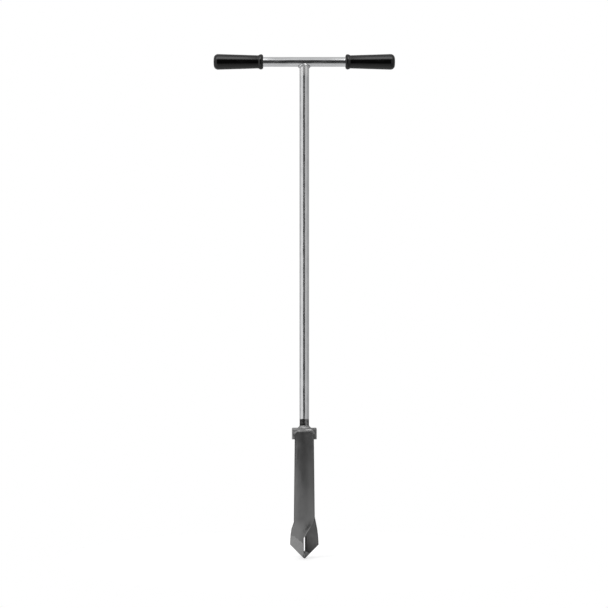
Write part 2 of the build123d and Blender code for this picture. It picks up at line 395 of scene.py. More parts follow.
def weld_bead(path, out, half_width, height, ripples, seed, closed=False):
    """A bead carried along a path: at each point an ellipse, half_width across and height out. It is
    swelled by wandering ripples bowed back at the sides like stacked coins, and by lumps. Open ends
    are domes. Returns the points, the ripples' valleys and the toes along both sides as masks."""
    ahead = np.roll(path, -1, axis=0) - np.roll(path, 1, axis=0)
    if not closed:
        ahead[0], ahead[-1] = path[1] - path[0], path[-1] - path[-2]
    across = np.cross(ahead, out)
    across /= np.linalg.norm(across, axis=1, keepdims=True)
    across *= np.broadcast_to(half_width, len(path))[:, None]
    up = out * np.broadcast_to(height, len(path))[:, None]
    share = np.arange(len(path))[:, None] / (len(path) if closed else len(path) - 1)
    angle = circle(bead_sides)
    sides = np.cos(angle)[:, None] * across[:, None] + np.sin(angle)[:, None] * up[:, None]
    size = np.mean(half_width)
    wander = ripple_wander * unevenness(path, wander_run * size, seed + wander_seed)[:, None]
    valley = dips(2 * np.pi * (ripples * share + wander + ripple_bow * np.sin(angle)))
    lumps = unevenness(path[:, None] + sides, lump_run * size, seed)
    swell = 1 - ripple_height * valley + lump_height * (lumps - 1)
    if not closed:
        reach = np.linalg.norm(np.diff(path, axis=0), axis=1).sum() / size
        end = np.clip(np.minimum(share, 1 - share) * reach, 0, 1)
        swell = swell * np.sqrt(1 - (1 - end) ** 2)
    toes = np.broadcast_to(ramp(np.abs(np.cos(angle)), toe_from, 1), valley.shape)
    return path[:, None] + swell[..., None] * sides, {"valley": valley, "toe": toes}


def handle_bead():
    """The seam of the T-joint, x = R sin t, y = Y cos t, z = top - fall |sin t|, with the bead turned
    to face out of the corner between the two tubes. Its radius goes between two sizes by sin^2 t, with
    a fuller stretch where the welder stopped. The toe is dark along the bar and fainter along the
    shaft, except at the glint, a painted highlight shaped as a bell curve round the seam."""
    turn = circle(handle_bead_rows)
    fall = shaft_high.z - (bar_axis - bar_radius)
    depth = shaft_radius - handle_bead_sink
    height = shaft_high.z - fall * np.abs(np.sin(turn))
    seam = points_at(shaft_radius * np.sin(turn), depth * np.cos(turn), height)
    from_shaft = points_at(np.sin(turn), np.cos(turn), 0.0)
    from_bar = (seam - (0, 0, bar_axis)) * (0, 1, 1) / bar_radius
    out = from_shaft + from_bar
    out /= np.linalg.norm(out, axis=1, keepdims=True)
    radius = between(np.sin(turn) ** 2, saddle_bead_radius, crotch_bead_radius)
    radius = radius + full_swell * bell(turn - full_turn, full_spread)
    points, masks = weld_bead(seam, out, radius, radius, handle_bead_ripples, seed=3, closed=True)
    heavy = bell(turn - toe_turn, toe_spread)[:, None]
    glint = bell(turn - glint_turn, glint_spread)[:, None]
    upper = ramp(np.cos(circle(bead_sides)), *upper_toe) * between(heavy, toe_share, 1)
    masks["toe"] = np.maximum(upper, lower_toe * masks["toe"]) * (1 - glint)
    return points, {"glint": glint, **masks}


def handle_bead_finish():
    """Zinc over a rippled bead, dark where it stays thin in the valleys and along the toes, with a
    painted highlight, the glint, near white at the front top of the seam."""
    made, tree, shader = finish("zinc_weld", metallic=1.0)
    colour, roughness, height = zinc(tree, handle_bead_grain, handle_bead_blotch)
    # The glint mask paints a highlight into the zinc's colour
    for name, shade in (("valley", zinc_valley), ("toe", toe_dark), ("glint", painted_glint)):
        colour = tint(tree, mask(tree, name), colour, shade)
    dress(tree, shader, colour, roughness, height, handle_bead_bump)
    return made


bead_points, bead_masks = handle_bead()
bead = grid_piece("handle_bead", bead_points, handle_bead_finish(), ring=True, **bead_masks)
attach(bead, "root")
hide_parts("handle_weld")

# Grips: two black plastic mouldings pushed on to the ends of the bar. Each has a domed closed end,
# tapers to a neck and ends in a round-topped flange on the inner side.
grip_end_radius = 0.0195
grip_neck_radius = 0.0161
grip_flange_radius = 0.0188
grip_flange_width = 0.0115
grip_flange_round = 0.005
grip_end_crown = 0.0022
grip_end_round = 0.0105
grip_end_wall = 0.006
grip_neck_ease = 0.0004
grip_neck_zone = 0.006
grip_sides = 128
dome_shares = (0.0, 0.12, 0.24, 0.36, 0.46)
barrel_rows = 24
neck_rows = 36
flange_rows = 14
grip_black = (0.0006, 0.0016)
grip_gloss = (0.15, 0.2)
grip_rim_roughness = 0.9
grip_rim_blend = 0.3
grip_ior = 1.33
grip_bump = 0.000001
peel_size = (0.0016, 0.0016, 0.0016)
haze_size = (0.03, 0.012, 0.012)


def rounded_line(corners, radii, steps=10):
    """Points along a line through corners, where each corner with a radius is an arc that touches
    both its sides. Also returns the unit normals, to the left of the way along the line."""
    corners = np.asarray(corners, float)
    ways = np.diff(corners, axis=0)
    ways /= np.linalg.norm(ways, axis=1, keepdims=True)
    points, directions = [corners[:1]], [ways[:1]]
    for corner, before, after, radius in zip(corners[1:-1], ways[:-1], ways[1:], radii):
        turn = np.arctan2(before[0] * after[1] - before[1] * after[0], before @ after)
        share = np.linspace(0, 1, steps)[:, None] if radius else np.full((1, 1), 0.5)
        heading = np.arctan2(before[1], before[0]) + turn * share
        direction = np.hstack([np.cos(heading), np.sin(heading)])
        left = np.array([-before[1], before[0]]) * np.sign(turn)
        start = corner - before * radius * np.tan(abs(turn) / 2)
        inward = np.hstack([-direction[:, 1:], direction[:, :1]]) * np.sign(turn)
        points.append(start + radius * (left - inward))
        directions.append(direction)
    points = np.vstack([*points, corners[-1:]])
    directions = np.vstack([*directions, ways[-1:]])
    return points, points_at(-directions[:, 1], directions[:, 0])


def grip_profile(length):
    """Outline of half the moulding, as distance from its outer end and radius from the bar's axis. The
    end is a dome x = crown (r / R)^2 with a rounded shoulder. The barrel is the larger of a straight
    taper and the flange's arc, with the corner between them eased. The flange turns down to its inner
    face by a quarter circle, and the blind bore follows."""
    dome = [(grip_end_crown * share**2, grip_end_radius * share) for share in dome_shares]
    shoulder = (grip_end_crown, grip_end_radius)
    neck = (length - grip_flange_width, grip_neck_radius)
    end = rounded_line(dome + [shoulder, neck], [0.0] * (len(dome) - 1) + [grip_end_round])[0][:-1]
    peak = length - grip_flange_round
    run = grip_flange_width - grip_flange_round
    rise = grip_flange_radius - grip_neck_radius
    swell = (run**2 + rise**2) / (2 * rise)
    neck_start = neck[0] - grip_neck_zone
    barrel = np.linspace(end[-1, 0], neck_start, barrel_rows)[1:]
    x = np.concatenate([barrel, np.linspace(neck_start, peak, neck_rows)[1:]])
    slope = (grip_neck_radius - grip_end_radius) / (neck[0] - shoulder[0])
    taper = grip_end_radius + slope * (x - shoulder[0])
    arc = grip_flange_radius - swell + np.sqrt(np.maximum(swell**2 - (x - peak) ** 2, 0.0))
    side = points_at(x, (taper + arc + np.hypot(taper - arc, grip_neck_ease)) / 2)
    turn = np.linspace(0, np.pi / 2, flange_rows)[1:]
    drop = grip_flange_radius - grip_flange_round * (1 - np.cos(turn))
    face = points_at(peak + grip_flange_round * np.sin(turn), drop)
    bore = [(length, bar_radius), (grip_end_wall, bar_radius), (grip_end_wall, 0.0)]
    return np.vstack([end, side, face, bore])


def grip_surface(side, outer_end, length):
    """The outline turned round the bar's axis, from the outer end towards the middle."""
    profile = grip_profile(length)
    along, radius = profile[:, :1], profile[:, 1:]
    turn = circle(grip_sides)
    return points_at(outer_end - side * along, radius * np.cos(turn), bar_axis + radius * np.sin(turn))


def grip_finish():
    """Glossy black moulding with faint orange peel and a little handling haze. Its gloss dulls towards
    the rim, as a finely textured mould leaves it."""
    made, tree, shader = finish("black_moulding", metallic=0.0)
    shader.inputs["IOR"].default_value = grip_ior
    peel = grain(tree, peel_size, detail=2.0)
    haze = grain(tree, haze_size, detail=4.0, low=0.4, high=0.7)
    facing = node(tree, "LayerWeight", {"Blend": grip_rim_blend}).outputs["Facing"]
    gloss = level(tree, facing, level(tree, haze, *grip_gloss), grip_rim_roughness)
    dress(tree, shader, tint(tree, haze, *grip_black), gloss, peel, grip_bump)
    return made


grip_material = grip_finish()
for side, name in ((-1, "left"), (1, "right")):
    grip_low, grip_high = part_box(name + "_grip")
    outer_end = grip_low.x if side < 0 else grip_high.x
    points = grip_surface(side, outer_end, grip_high.x - grip_low.x)
    grip = grid_piece(name + "_handgrip", points, grip_material)
    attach(grip, "root")
    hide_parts(name + "_grip")

# Bridge: hot-rolled flat bar sawn to length and bent into a U.
# Its web carries the shaft, and a blade is welded to the outside of each leg.
bridge_low, bridge_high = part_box("bridge")
bridge_thickness = 0.005
bridge_bend = 0.003
bridge_edge_round = 0.0024
bridge_end_round = 0.0007
bridge_dent = 0.00012
bridge_dent_size = 0.014
dent_level = 1.2  # keeps the dents inside the full size
bridge_columns = 61
bridge_edge_rows = 7
bridge_end_rows = 4
bridge_leg_rows = 11
scale_pale = (0.24, 0.29)
# Darker copy of the steel, for painted shade on one side of the bridge
shaded_bridge_steel = (0.13, 0.17)
steel_gloss = (0.36, 0.46)
bridge_gloss = (0.5, 0.58)
cloud_size = (0.02, 0.02, 0.03)
pit_size = (0.0011, 0.0011, 0.0014)
pit_share = 0.35
steel_bump = 0.00002


def bridge_section():
    """Half thickness over half width of the flat bar: a rectangle whose corners are quarter circles."""
    half_thick = bridge_thickness / 2
    half_width = bridge_high.x - bridge_edge_round
    half_face = half_thick - bridge_edge_round
    arc = np.linspace(0, np.pi / 2, bridge_edge_rows)
    near_corner = bridge_edge_round * points_at(np.cos(arc), np.sin(arc)) + (half_width, half_face)
    far_corner = near_corner[::-1] * (-1, 1)
    face = points_at(np.linspace(half_width, -half_width, bridge_columns)[1:-1], half_thick)
    upper = np.concatenate([near_corner, face, far_corner])
    return np.concatenate([upper, upper[::-1] * (1, -1)])


def bridge_surface():
    """The flat bar's section carried along the U, drawn in over the last of each leg to round its end.
    The painted shade mask grows evenly from one end of the bar's width to the other, darkening one side
    of each leg."""
    half_thick = bridge_thickness / 2
    leg = bridge_high.y - half_thick
    web = bridge_high.z - half_thick
    corners = [(-leg, bridge_low.z), (-leg, web), (leg, web), (leg, bridge_low.z)]
    line, normals = rounded_line(corners, [bridge_bend, bridge_bend])
    section = bridge_section()
    end_arc = np.linspace(0, np.pi / 2, bridge_end_rows, endpoint=False)
    leg_top = web - bridge_bend - bridge_low.z
    legs = np.linspace(bridge_end_round, leg_top, bridge_leg_rows, endpoint=False)
    climb = np.concatenate([bridge_end_round * (1 - np.cos(end_arc)), legs])
    draw_in = np.concatenate([bridge_end_round * (1 - np.sin(end_arc)), np.zeros_like(legs)])
    front = points_at(-leg, bridge_low.z + climb)
    bends = slice(1, -1)
    rows = np.concatenate([front, line[bends], front[::-1] * (-1, 1)])
    ways = [np.full_like(front, normals[0]), normals[bends], np.full_like(front, normals[-1])]
    way_y, way_z = np.concatenate(ways).T[..., None]
    inset = np.concatenate([draw_in, np.zeros(len(line[bends])), draw_in[::-1]])[:, None]
    width = section[:, 0] * (1 - inset / bridge_high.x)
    thick = section[:, 1] * (1 - inset / half_thick)
    y = rows[:, :1] + thick * way_y
    points = points_at(width, y, rows[:, 1:] + thick * way_z)
    dents = bridge_dent * (unevenness(points, bridge_dent_size, seed=4) - dent_level) * np.sign(thick)
    # Painted shade: darker towards one side of the bar's width
    soot = ramp(width * np.sign(y), bridge_high.x, -bridge_high.x)
    return points + points_at(0.0, dents * way_y, dents * way_z), soot


def rolled_steel(tree, dark, light):
    """Colour, roughness and height of dark rolled steel: satin, with cloudy scale and fine pits."""
    cloud = grain(tree, cloud_size, detail=4.0, low=0.3, high=0.7)
    pits = grain(tree, pit_size)
    colour = tint(tree, level(tree, pit_share, cloud, pits), dark, light)
    return colour, level(tree, cloud, *steel_gloss), pits


def bridge_finish():
    """Rolled steel dulled by the heat of the welds, paler at one side and darker at the other with
    painted shade.
    """
    made, tree, shader = finish("bridge_steel", metallic=1.0)
    pale, satin, height = rolled_steel(tree, *scale_pale)
    # The darker copy is painted shade, blended in across the bar's width
    sooty = rolled_steel(tree, *shaded_bridge_steel)[0]
    colour = tint(tree, mask(tree, "soot"), pale, sooty)
    dress(tree, shader, colour, level(tree, satin, *bridge_gloss), height, steel_bump)
    return made


bridge_points, bridge_soot = bridge_surface()
bridge = grid_piece("bridge_bar", bridge_points, bridge_finish(), soot=bridge_soot)
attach(bridge, "root")
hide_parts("bridge")

# Weld at the foot of the shaft: a concave fillet run round the tube on the web of the bridge.
# It is left as laid, with an uneven toe that dips over the bends of the bridge.
foot_bead_height = 0.0066
foot_toe_width = 0.0182
foot_toe_depth = 0.0152
foot_hollow = 0.45
foot_bead_sides = 160
foot_slope_rows = 16
foot_bead_ripples = 30
foot_ripple_depth = 0.00012
foot_ripple_sweep = 2.2
foot_ripple_run = 0.01
foot_lump_depth = 0.0009
foot_lump_size = 0.012
foot_lump_level = 0.6
foot_crest_share = 0.7
foot_crest_size = 0.01
foot_bury = 0.0012
foot_toe_from = 0.75
foot_bright_turn = np.radians(254)
foot_bright_width = 0.5
foot_bright_share = 0.5
foot_bright_size = 0.007
soft_valley = 0.5
weld_dull = (0.16, 0.25)
weld_bright = (0.42, 0.58)
weld_valley = 0.17
weld_slag = 0.09
weld_gloss = (0.4, 0.6)
weld_bump = 0.0001
sheen_size = (0.008, 0.008, 0.005)
slag_size = (0.004, 0.004, 0.003)


def foot_bead():
    """A slope from the tube down to the toe, hollowed part of the way to a quarter arc and carried
    round the tube, with the hidden side of the ring sunk into the steel. The toe is an ellipse,
    lowered where it passes the bends. Masks are the ripples' valleys, the toe and a bright patch at
    the front left."""
    turn = circle(foot_bead_sides)
    foot_radius = shaft_radius - bare_depth
    ring = around_axis(turn, foot_toe_width, 0.0)
    lumps = foot_lump_depth * (unevenness(ring, foot_lump_size, seed=5) - foot_lump_level)
    toe = 1 / np.hypot(np.cos(turn) / foot_toe_width, np.sin(turn) / foot_toe_depth) + lumps
    crest_lumps = foot_crest_share * foot_lump_depth * unevenness(ring, foot_crest_size, seed=6)
    crest = bridge_high.z + foot_bead_height + crest_lumps
    bend = bridge_bend + bridge_thickness / 2
    past = np.clip(np.abs(toe * np.sin(turn)) - (bridge_high.y - bend), 0, bend)
    toe_height = bridge_high.z - (bend - np.sqrt(bend**2 - past**2))
    arc = np.linspace(0, np.pi / 2, foot_slope_rows)[:, None]
    sweep = foot_ripple_sweep * np.sin(2 * arc) - unevenness(ring, foot_ripple_run, seed=13)
    valley = dips(foot_bead_ripples * turn - sweep) * np.sin(2 * arc)
    even = arc / (np.pi / 2)
    outward = between(foot_hollow, even, 1 - np.cos(arc))
    down = between(foot_hollow, even, np.sin(arc))
    radius = between(outward, foot_radius, toe) - foot_ripple_depth * valley * np.sin(arc)
    height = between(down, crest, toe_height) - foot_ripple_depth * valley * np.cos(arc)
    root = np.full_like(toe, foot_radius - foot_bury)
    radius = np.vstack([radius, toe, root, root])
    height = np.vstack([height, toe_height - foot_bury, toe_height - foot_bury, crest])
    points = around_axis(turn, radius, height)
    hidden = np.zeros((3, foot_bead_sides))
    bright = bell(turn - foot_bright_turn, foot_bright_width)
    patchy = np.clip(foot_bright_share * (bright + unevenness(points, foot_bright_size, seed=14)), 0, 1)
    masks = {
        "valley": np.vstack([soft_valley * valley, hidden]),
        "toe": np.vstack([ramp(even, foot_toe_from, 1), hidden[:, :1]]),
        "bright": patchy,
    }
    return points, masks


def weld_finish(name, dull):
    """Weld metal as laid: dull grey with bright patches, which on the blade beads and the point bead
    are painted highlights, darker in the ripples' valleys and along the toes, with spots of slag. On
    the point bead the toe mask is painted shade down the seam."""
    made, tree, shader = finish(name, metallic=1.0)
    sheen = grain(tree, sheen_size)
    slag = grain(tree, slag_size, detail=5.0, low=0.54, high=0.7)
    bright = tint(tree, sheen, *weld_bright)
    colour = tint(tree, mask(tree, "bright"), tint(tree, sheen, *dull), bright)
    colour = tint(tree, mask(tree, "valley"), colour, weld_valley)
    colour = tint(tree, mask(tree, "toe"), colour, weld_valley)
    colour = tint(tree, slag, colour, weld_slag)
    dress(tree, shader, colour, level(tree, slag, *weld_gloss), sheen, weld_bump)
    return made


weld_material = weld_finish("weld_metal", weld_dull)
foot_points, foot_masks = foot_bead()
foot = grid_piece("shaft_foot_bead", foot_points, weld_material, ring=True, **foot_masks)
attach(foot, "root")
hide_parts("shaft_weld")

# Blades: two strips of dark rolled steel, each bowed and crowned, flared at the foot into a wing.
# The wing's cutting edge is ground by hand to a bright bevel, and its rear edge is cut on a slant.
blade_thickness = 0.004
blade_top_width = 0.0473
blade_low_width = 0.0518
blade_top_corner = 0.008
blade_bow = 0.005
blade_crown = 0.004
blade_lap_crown = 0.0005
blade_wing_crown = 0.0003
crown_run = 0.09
lap_gap = 0.0001
cutting_width = 0.0708
point_height = 0.0341
point_wear = 0.0019
point_round = 0.001
wear_power = 4
wing_height = 0.100
flare_bend = (0.0315, 0.075)
trail_height = 0.104
slant_bend = (0.018, 0.0857)
slot_top = 0.051
slot_bottom = 0.0181
slot_width = 0.0028
edge_land = 0.0008
bevel_left = 0.0535
bevel_right = 0.0375
bevel_rise = 0.0058
bevel_arch_power = 1.5
bevel_wave = 0.0014
bevel_waves = 4
bevel_waver = 0.0006
bevel_waver_run = 0.12
rolled_edge = 0.0024
cut_edge = 0.0006
blade_dent = 0.00010
blade_dent_size = (0.03, 0.03, 0.05)
bevel_rows = 16
wing_low_rows = 13
wing_high_rows = 34
strip_rows = 64
corner_rows = 12
face_columns = 56
edge_columns = 10
inner_from = 0.5

blade_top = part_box("front_blade")[1].z
half_cut = cutting_width / 2
half_strip = blade_low_width / 2
half_top = blade_top_width / 2
half_slot = slot_width / 2
lap_depth = bridge_high.y + lap_gap + blade_thickness + blade_lap_crown
strip_top = blade_top - blade_top_corner
wing_mid = bevel_left + slot_top - bevel_right


def bow(z):
    """Depth of the outer face in front of the axis on the middle line: a quarter sine up the wing,
    then a full sine-squared swell up the strip."""
    rise = np.sin(np.pi / 2 * np.clip(z / wing_height, 0, 1))
    share = np.clip((bridge_low.z - z) / (bridge_low.z - wing_height), 0, 1)
    return between(rise, blade_thickness / 2, lap_depth) + blade_bow * np.sin(np.pi * share) ** 2


def crown(z):
    """Fall of the outer face behind the middle line, per square metre of distance from it: full on the
    strip, and eased to less on the lap above it and on the wing below."""
    below_lap = ramp(z, bridge_low.z, bridge_low.z - crown_run)
    strip = between(below_lap, blade_lap_crown, blade_crown)
    return between(ramp(z, point_height, wing_height), blade_wing_crown, strip) / half_strip**2


def tuck(z):
    """Slope that draws the leading edge of the wing back to the axis, full at the wing's corner."""
    full = (bow(point_height) - crown(point_height) * half_cut**2 - blade_thickness / 2) / half_cut
    return full * ramp(z, wing_height, point_height)


def outer_face(x, z):
    """Y of the front blade's outer face: forward by the bow, back by the crown times x squared, and
    leaning by the tuck times x."""
    return -bow(z) + crown(z) * x * x - tuck(z) * x


def left_outline(z, flare_top):
    """X of the leading side: an arc from the wing's corner, the straight flare, then the strip."""
    run = half_cut - flare_bend[0]
    rise = flare_bend[1] - point_height
    radius = (run**2 + rise**2) / (2 * run)
    arc = radius - half_cut - np.sqrt(radius**2 - np.clip(z - point_height, 0, rise) ** 2)
    heights = [flare_bend[1], flare_top, blade_top]
    straight = np.interp(z, heights, [-flare_bend[0], -half_strip, -half_top])
    return np.where(z < flare_bend[1], arc, straight)


def right_outline(z):
    """X of the trailing side: the axis at the point, the side of the slot, the straight slant, the
    arc that swings it up to the strip, and the strip."""
    slot = -half_slot * ramp(z, slot_bottom - cut_edge, slot_bottom)
    slant = np.interp(z, [slot_top, slant_bend[1]], [-half_slot, slant_bend[0]])
    along = np.array([slant_bend[0] + half_slot, slant_bend[1] - slot_top])
    inward = np.array([-along[1], along[0]]) / np.hypot(*along)
    chord = np.array([half_strip - slant_bend[0], trail_height - slant_bend[1]])
    radius = chord @ chord / (2 * chord @ inward)
    centre = slant_bend + radius * inward
    swing = centre[0] + np.sqrt(radius**2 - (np.clip(z, slant_bend[1], trail_height) - centre[1]) ** 2)
    strip = np.interp(z, [trail_height, blade_top], [half_strip, half_top])
    return np.select([z < slot_top, z < slant_bend[1], z < trail_height], [slot, slant, swing], strip)


def blunted(z):
    """Height with the point worn round: half the sum of z and the hypotenuse of z and the rounding."""
    return (z + np.hypot(z, point_round)) / 2


def bevel_bulge(share, start, seed):
    """How far the hand-ground top of the bevel rises over a straight line between its ends: a lopsided
    arch, a few even dips left by the grinder, and some wavering."""
    grinder = bevel_wave * np.cos(2 * np.pi * bevel_waves * (share - start))
    waver = bevel_waver * unevenness(points_at(share, 0.0, 0.0), bevel_waver_run, seed)
    arch = bevel_rise * np.sin(np.pi * np.sqrt(share)) ** bevel_arch_power
    return arch - (grinder + waver) * np.sqrt(np.sin(np.pi * share))


def blade_rows():
    """Columns with the heights of each row's left and right ends, and the share of the bevel's bulge
    that the row takes: all of it at the top of the bevel, fading out above."""
    bevel = np.linspace(0, 1, bevel_rows)
    wing_low = np.linspace(0, 1, wing_low_rows + 1)[1:]
    wing_high = np.linspace(0, 1, wing_high_rows)[1:]
    strip = np.linspace(0, 1, strip_rows)[1:]
    corner = np.sin(np.linspace(0, np.pi / 2, corner_rows))[1:]
    above = [between(strip, trail_height, strip_top), between(corner, strip_top, blade_top)]
    z_left = np.concatenate([
        between(bevel, point_height, bevel_left),
        between(wing_low, bevel_left, wing_mid),
        between(wing_high, wing_mid, trail_height),
        *above,
    ])
    z_right = np.concatenate([
        between(bevel, 0.0, bevel_right),
        between(wing_low, bevel_right, slot_top),
        between(wing_high, slot_top, trail_height),
        *above,
    ])
    bulge = np.concatenate([bevel, ramp(z_right[bevel_rows:], trail_height, bevel_right)])
    return z_left[:, None], z_right[:, None], bulge[:, None]


dark_edge_strip = 0.0028
dark_edge_wing = 0.0018
dark_edge_inner = 0.0036
rim_reach = (0.0018, 0.0006)  # where the rim is gone and where it is full
rim_heights = (0.086, 0.074)  # the same two, as heights
# Edge shade: painted shade on the outer face beside the slanting cut
edge_shade_inset = 0.006
edge_shade_height = 0.079
edge_shade_width = 0.006
edge_shade_rise = 0.012
# Hot-and-shaded band: heat tint below the top weld, with painted shade for the shadow under the bead
# and for the dark reflection down the middle of the strip
hot_shade_run = 0.05
hot_shade_low = 0.4
hot_shade_turn = 0.2
hot_shade_place = (0.006, -0.005)  # at that height and at the top
hot_shade_width = (0.009, 0.0125)
hot_shade_fade = (0.095, 0.14)
# Shaded side: painted shade, darker towards each blade's trailing side
shaded_side_run = 0.09
shaded_side_low = 0.45
shaded_side_share = 0.75
shade_heights = (0.055, 0.015)  # where the shade is gone and where it is full
# Crevice shade: painted shade, near black, beside the slot
crevice_outside = 0.0012
crevice_inside = 0.003
# Painted highlight: lighter steel near the leading side of the strip
highlight_inset = 0.0042
highlight_width = 0.0026
highlight_height = 0.262
highlight_rise = 0.022


def blade_masks(z, from_left, from_right, z_left, z_right, inner):
    """Masks of the blade's finish, from each point's height, its distances from both ends of its row,
    the heights of those ends, and how far round to the inner face it lies. Edge, rim and crevice
    shade are bands beside an outline; the crevice shade is painted shade beside the slot. The edge
    shade (painted shade by the slanting cut), the hot-and-shaded band (heat tint with painted shade
    at the top of the strip) and the painted highlight near the leading side are bell curves about a
    place. The shaded side is painted shade that grows to the right and downwards, and shade lies low
    on the inner face."""
    dark_outside = between(ramp(z_left, bevel_left, wing_height), dark_edge_wing, dark_edge_strip)
    dark_left = between(inner, dark_outside, dark_edge_inner)
    edge_left = np.maximum(z_left > bevel_left, inner) * ramp(from_left, dark_left, dark_left / 2)
    edge_right = (z_right > trail_height) * ramp(from_right, dark_edge_wing, dark_edge_wing / 2)
    slanted = (z_right > slot_top) & (z_right <= trail_height)
    rim = slanted * ramp(from_right, *rim_reach) * ramp(z, *rim_heights)
    # painted shade beside the slanting cut
    edge_shade = bell(from_right - edge_shade_inset, edge_shade_width) * bell(z - edge_shade_height, edge_shade_rise)
    below_top = blade_top - z
    hot_shade_heights = (hot_shade_turn, blade_top)
    off_middle = (from_left - from_right) / 2 - np.interp(z, hot_shade_heights, hot_shade_place)
    # heat tint with painted shade, strongest at the top of the strip
    hot_shade = between(np.exp(-below_top / hot_shade_run), hot_shade_low, 1) * ramp(z, *hot_shade_fade)
    hot_shade = hot_shade * bell(off_middle, np.interp(z, hot_shade_heights, hot_shade_width))
    aside = ramp((from_left - from_right) / (from_left + from_right), 0, 1)
    low = between(ramp(z, wing_height, 2 * wing_height), shaded_side_low, 1)
    # painted highlight near the leading side of the strip
    painted_highlight = bell(from_left - highlight_inset, highlight_width) * bell(z - highlight_height, highlight_rise)
    crack = between(inner, crevice_outside, crevice_inside)
    return {
        "inner": inner,
        "edge": np.maximum(edge_left, edge_right),
        "rim": rim,
        "edge_shade": slanted * edge_shade,
        "hot_and_shaded": hot_shade,
        "shaded_side": shaded_side_share * aside * low * ramp(below_top, 0, shaded_side_run),
        "shade": inner * ramp(z, *shade_heights),
        "painted_highlight": painted_highlight * (1 - inner),
        "crevice_shade": (z_right < slot_top) * ramp(from_right, 2 * crack, crack),
    }


def blade_surface(flare_top, start, seed):
    """Loops round the blade, from the cutting edge up. Each row runs from the left outline to the
    right one: along the cutting edge, then the top of the bevel, then level up the strip. A loop is
    the outer face, a rounded edge, the inner face and the other rounded edge. The bevel cuts the outer
    face back to a land at the cutting edge, and wear lowers that edge towards a blunt point."""
    z_left, z_right, bulge = blade_rows()
    ground = np.arange(len(bulge))[:, None] < bevel_rows
    cut = np.where(ground, 1 - bulge, 0.0)
    rounding = np.clip(z_left - strip_top, 0, blade_top_corner)
    draw_in = blade_top_corner - np.sqrt(blade_top_corner**2 - rounding**2)
    x_left = left_outline(z_left, flare_top) + draw_in
    x_right = right_outline(z_right) - draw_in
    reach = np.hypot(x_right - x_left, z_right - z_left)
    left_rolled = ramp(z_left, bevel_left, wing_mid)
    right_rolled = ramp(z_right, trail_height, trail_height + blade_thickness)
    left_share = between(left_rolled, cut_edge, rolled_edge) / reach
    right_share = between(right_rolled, cut_edge, rolled_edge) / reach
    spacing = np.linspace(0, 1, face_columns)
    turn = np.pi * (np.arange(edge_columns) + 1) / (edge_columns + 1)
    half_edge = edge_columns // 2
    face = between(spacing, left_share, 1 - right_share)
    right_edge = 1 - right_share * (1 - np.sin(turn))
    left_turn = turn[::-1]
    left_edge = left_share * (1 - np.sin(left_turn))
    loop = [
        (left_edge[:, half_edge:], left_turn[half_edge:]),
        (face, np.zeros(face_columns)),
        (right_edge, turn),
        (face[:, ::-1], np.full(face_columns, np.pi)),
        (left_edge[:, :half_edge], left_turn[:half_edge]),
    ]
    shares, angles = zip(*loop)
    share = np.concatenate(shares, axis=1)
    outward = np.cos(np.concatenate(angles))
    x = between(share, x_left, x_right)
    z = between(share, z_left, z_right) + bulge * bevel_bulge(share, start, seed)
    z = blunted(z - point_wear * share * cut**wear_power)
    front = outer_face(x, z) + (blade_thickness - edge_land) * cut
    back = outer_face(x, z) + blade_thickness
    points = points_at(x, (front + back) / 2 - (back - front) / 2 * outward, z)
    points[..., 1] -= blade_dent * (unevenness(points, blade_dent_size, seed) - dent_level) * outward
    inner = np.broadcast_to(ramp(outward, inner_from, -inner_from), x.shape)
    masks = blade_masks(z, share * reach, (1 - share) * reach, z_left, z_right, inner)
    return points, {"ground": ground * (1 - inner), **masks}


strip_steel = (0.15, 0.19)
strip_hot_and_shaded = 0.1
strip_shaded_side = 0.08
highlight_steel = 0.3
inner_shade = 0.022
inner_steel = (0.11, 0.15)
edge_steel = 0.05
crevice_shade_black = 0.01
edge_shade_black = 0.05
rim_steel = 0.3
bevel_steel = (0.21, 0.265)
edge_shade_size = (0.004, 0.004, 0.006)
scratch_size = (0.0005, 0.02, 0.02)
scratch_turn = np.radians(45)
inner_metal = 0.15
inner_roughness = 0.6
bevel_roughness = 0.34


def blade_finish(name, way):
    """Satin rolled steel: darker on one side with painted shade, darker by the weld with heat tint and
    painted shade, darker on the rolled edges, and lighter at one place with a painted highlight. The
    inner face is dull, black low down, and black beside the slot with painted shade. The slanting
    cut is bright with painted shade beside it, and fine scratches cross the bevel."""
    made, tree, shader = finish(name, metallic=1.0)
    colour, roughness, height = rolled_steel(tree, *strip_steel)
    # These three paint shade on the trailing side, heat tint with shade near the weld, and a highlight
    # near the leading side
    for patch, shade in (("shaded_side", strip_shaded_side), ("hot_and_shaded", strip_hot_and_shaded), ("painted_highlight", highlight_steel)):
        colour = tint(tree, mask(tree, patch), colour, shade)
    inner = mask(tree, "inner")
    dull = tint(tree, grain(tree, cloud_size, detail=4.0), *inner_steel)
    colour = tint(tree, inner, colour, dull)
    for patch, shade in (("shade", inner_shade), ("edge", edge_steel)):
        colour = tint(tree, mask(tree, patch), colour, shade)
    # Painted shade beside the slanting cut, broken up by noise
    soot = {0: mask(tree, "edge_shade"), 1: grain(tree, edge_shade_size)}
    edge_shade = node(tree, "Math", soot, operation="MULTIPLY").outputs[0]
    colour = tint(tree, edge_shade, colour, edge_shade_black)
    colour = tint(tree, mask(tree, "rim"), colour, rim_steel)
    scratches = grain(tree, scratch_size, turn=(0.0, way * scratch_turn, 0.0))
    ground = mask(tree, "ground")
    colour = tint(tree, ground, colour, tint(tree, scratches, *bevel_steel))
    # Painted shade beside the slot
    colour = tint(tree, mask(tree, "crevice_shade"), colour, crevice_shade_black)
    roughness = level(tree, inner, level(tree, ground, roughness, bevel_roughness), inner_roughness)
    tree.links.new(level(tree, inner, 1.0, inner_metal), shader.inputs["Metallic"])
    dress(tree, shader, colour, roughness, level(tree, ground, height, scratches), steel_bump)
    return made


